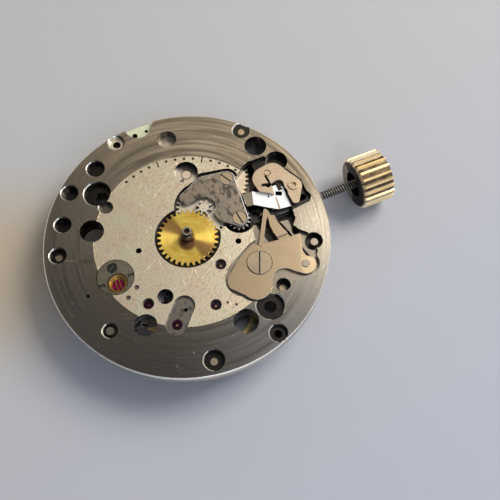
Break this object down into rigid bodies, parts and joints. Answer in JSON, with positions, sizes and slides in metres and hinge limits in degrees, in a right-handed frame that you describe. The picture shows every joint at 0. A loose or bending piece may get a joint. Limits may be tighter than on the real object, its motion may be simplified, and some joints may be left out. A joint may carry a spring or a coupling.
{
  "type": "watch movement",
  "caption": "Round hand-wound mechanical watch movement seen from its dial side, with winding stem, ridged crown, motion work and setting lever.",
  "frame": {"origin": "on the axis of the hands, at the level of the dial seat", "axes": "+Z out of the dial side along the hands' axis, +X along the winding stem to the crown at three o'clock, +Y to twelve o'clock"},
  "size_m": [0.0329, 0.0256, 0.0057],
  "materials": {
    "plate": "brushed, nickel plated",
    "nickel": "brushed, nickel plated",
    "brass": "satin",
    "gilt": "polished",
    "steel": "satin",
    "tan_steel": "matte",
    "cover": "satin",
    "dark_steel": "satin",
    "blue_steel": "polished",
    "ruby": "polished"
  },
  "bodies": {
    "movement_frame": {"mainplate": "plate", "plate_jewels": "ruby", "dial_side_pins": "tan_steel", "lower_setting_plate": "steel", "lower_setting_screw": "dark_steel", "lower_shock_block": "gilt", "lower_cap_jewel": "ruby", "lower_shock_spring": "gilt", "motion_cover": "cover", "motion_cover_screws": "tan_steel", "setting_lever_screw": "tan_steel", "setting_cover": "tan_steel", "setting_cover_screw": "tan_steel", "barrel_bridge": "nickel", "barrel_bridge_screws": "steel", "train_bridge": "nickel", "train_bridge_screws": "steel", "bridge_jewels": "ruby", "crown_wheel_screw": "steel", "click_screw": "steel", "click_spring": "blue_steel", "pallet_bridge": "nickel", "pallet_bridge_screws": "steel", "hairspring": "blue_steel", "hairspring_stud": "steel", "balance_cock": "nickel", "balance_cock_screw": "steel", "regulator": "steel", "upper_shock_block": "gilt", "upper_cap_jewel": "ruby", "upper_shock_spring": "gilt"},
    "winding_pinion_body": {"winding_pinion": "dark_steel"},
    "stem_and_crown": {"stem": "dark_steel", "crown": "gilt"},
    "clutch_body": {"clutch": "dark_steel"},
    "crown_wheel_body": {"crown_wheel": "steel"},
    "ratchet_and_arbor": {"ratchet_wheel": "steel", "ratchet_screw": "steel", "barrel_arbor": "steel"},
    "setting_lever_body": {"setting_lever": "tan_steel"},
    "yoke_body": {"yoke": "tan_steel"},
    "yoke_spring_body": {"yoke_spring": "tan_steel"},
    "click_body": {"click": "steel"},
    "barrel": {"barrel_drum": "brass", "barrel_cover": "brass", "mainspring": "steel"},
    "centre_wheel_body": {"centre_wheel": "brass"},
    "third_wheel_body": {"third_wheel": "brass"},
    "fourth_wheel_body": {"fourth_wheel": "brass"},
    "escape_wheel_body": {"escape_wheel": "steel"},
    "cannon_pinion_body": {"cannon_pinion": "steel"},
    "minute_wheel_body": {"minute_wheel": "steel"},
    "hour_wheel_body": {"hour_wheel": "brass"},
    "setting_wheel_body": {"setting_wheel": "steel"},
    "pallets": {"pallet_fork": "steel", "pallet_stones": "ruby"},
    "balance": {"balance_wheel": "gilt", "balance_staff": "steel", "roller": "brass", "hairspring_collet": "brass"}
  },
  "joints": [
    {"name": "winding", "type": "hinge", "parent": "movement_frame", "child": "winding_pinion_body", "pos_m": [0.009, 0, -0.002], "axis": [1, 0, 0], "continuous": true},
    {"name": "stem_pull", "type": "slide", "parent": "winding_pinion_body", "child": "stem_and_crown", "axis": [1, 0, 0], "range_m": [0, 0.00085]},
    {"name": "clutch_slide", "type": "slide", "parent": "winding_pinion_body", "child": "clutch_body", "axis": [-1, 0, 0], "range_m": [0, 0.00085]},
    {"name": "crown_wheel_spin", "type": "hinge", "parent": "movement_frame", "child": "crown_wheel_body", "pos_m": [0.00574, 0, -0.0032], "axis": [0, 0, 1], "continuous": true},
    {"name": "ratchet_spin", "type": "hinge", "parent": "movement_frame", "child": "ratchet_and_arbor", "pos_m": [0.00215, 0.00624, -0.003], "axis": [0, 0, 1], "continuous": true},
    {"name": "setting_lever_swing", "type": "hinge", "parent": "movement_frame", "child": "setting_lever_body", "pos_m": [0.01087, 0.00126, -0.0003], "axis": [0, 0, 1], "range_deg": [0, 35]},
    {"name": "yoke_swing", "type": "hinge", "parent": "movement_frame", "child": "yoke_body", "pos_m": [0.0087, -0.00631, -0.0006], "axis": [0, 0, 1], "range_deg": [0, 8.5]},
    {"name": "yoke_spring_bend", "type": "hinge", "parent": "movement_frame", "child": "yoke_spring_body", "pos_m": [0.00578, -0.0031, -0.0003], "axis": [0, 0, 1], "range_deg": [0, 17.5]},
    {"name": "click_swing", "type": "hinge", "parent": "movement_frame", "child": "click_body", "pos_m": [-0.00311, 0.00785, -0.0032], "axis": [0, 0, 1], "range_deg": [-8, 0]},
    {"name": "fourth_spin", "type": "hinge", "parent": "movement_frame", "child": "fourth_wheel_body", "pos_m": [0, -0.00685, -0.0018], "axis": [0, 0, 1], "continuous": true},
    {"name": "third_spin", "type": "hinge", "parent": "movement_frame", "child": "third_wheel_body", "pos_m": [0.00176, -0.00355, -0.0018], "axis": [0, 0, 1], "continuous": true},
    {"name": "centre_spin", "type": "hinge", "parent": "movement_frame", "child": "centre_wheel_body", "pos_m": [0, 0, -0.0018], "axis": [0, 0, 1], "continuous": true},
    {"name": "barrel_spin", "type": "hinge", "parent": "movement_frame", "child": "barrel", "pos_m": [0.00215, 0.00624, -0.0016], "axis": [0, 0, 1], "continuous": true},
    {"name": "escape_spin", "type": "hinge", "parent": "movement_frame", "child": "escape_wheel_body", "pos_m": [-0.00368, -0.00718, -0.0018], "axis": [0, 0, 1], "continuous": true},
    {"name": "cannon_spin", "type": "hinge", "parent": "movement_frame", "child": "cannon_pinion_body", "pos_m": [0, 0, -0.0006], "axis": [0, 0, 1], "continuous": true},
    {"name": "minute_wheel_spin", "type": "hinge", "parent": "movement_frame", "child": "minute_wheel_body", "pos_m": [0.0024, 0.00224, -0.0005], "axis": [0, 0, 1], "continuous": true},
    {"name": "hour_spin", "type": "hinge", "parent": "movement_frame", "child": "hour_wheel_body", "pos_m": [0, 0, -0.0002], "axis": [0, 0, 1], "continuous": true},
    {"name": "setting_wheel_spin", "type": "hinge", "parent": "movement_frame", "child": "setting_wheel_body", "pos_m": [0.00498, 0, -0.0008], "axis": [0, 0, 1], "continuous": true},
    {"name": "pallet_swing", "type": "hinge", "parent": "movement_frame", "child": "pallets", "pos_m": [-0.00531, -0.00457, -0.0015], "axis": [0, 0, 1], "range_deg": [-5, 5]},
    {"name": "balance_swing", "type": "hinge", "parent": "movement_frame", "child": "balance", "pos_m": [-0.00715, -0.00182, -0.0026], "axis": [0, 0, 1], "range_deg": [-270, 270], "stiffness_Nm_per_rad": 0.00000025}
  ],
  "couplings": [
    {"joint": "clutch_slide", "follows": "stem_pull", "ratio": 1},
    {"joint": "setting_lever_swing", "follows": "stem_pull", "rad_per_m": 712.51},
    {"joint": "yoke_swing", "follows": "stem_pull", "rad_per_m": 168.37},
    {"joint": "yoke_spring_bend", "follows": "stem_pull", "rad_per_m": 349.07},
    {"joint": "crown_wheel_spin", "follows": "winding", "ratio": 0.4},
    {"joint": "ratchet_spin", "follows": "winding", "ratio": -0.28571},
    {"joint": "third_spin", "follows": "fourth_spin", "ratio": -0.13333},
    {"joint": "centre_spin", "follows": "fourth_spin", "ratio": 0.016667},
    {"joint": "barrel_spin", "follows": "fourth_spin", "ratio": -0.0026316},
    {"joint": "escape_spin", "follows": "fourth_spin", "ratio": -10},
    {"joint": "cannon_spin", "follows": "fourth_spin", "ratio": 0.016667},
    {"joint": "minute_wheel_spin", "follows": "fourth_spin", "ratio": -0.0055556},
    {"joint": "hour_spin", "follows": "fourth_spin", "ratio": 0.0013889},
    {"joint": "setting_wheel_spin", "follows": "fourth_spin", "ratio": 0.014286}
  ]
}
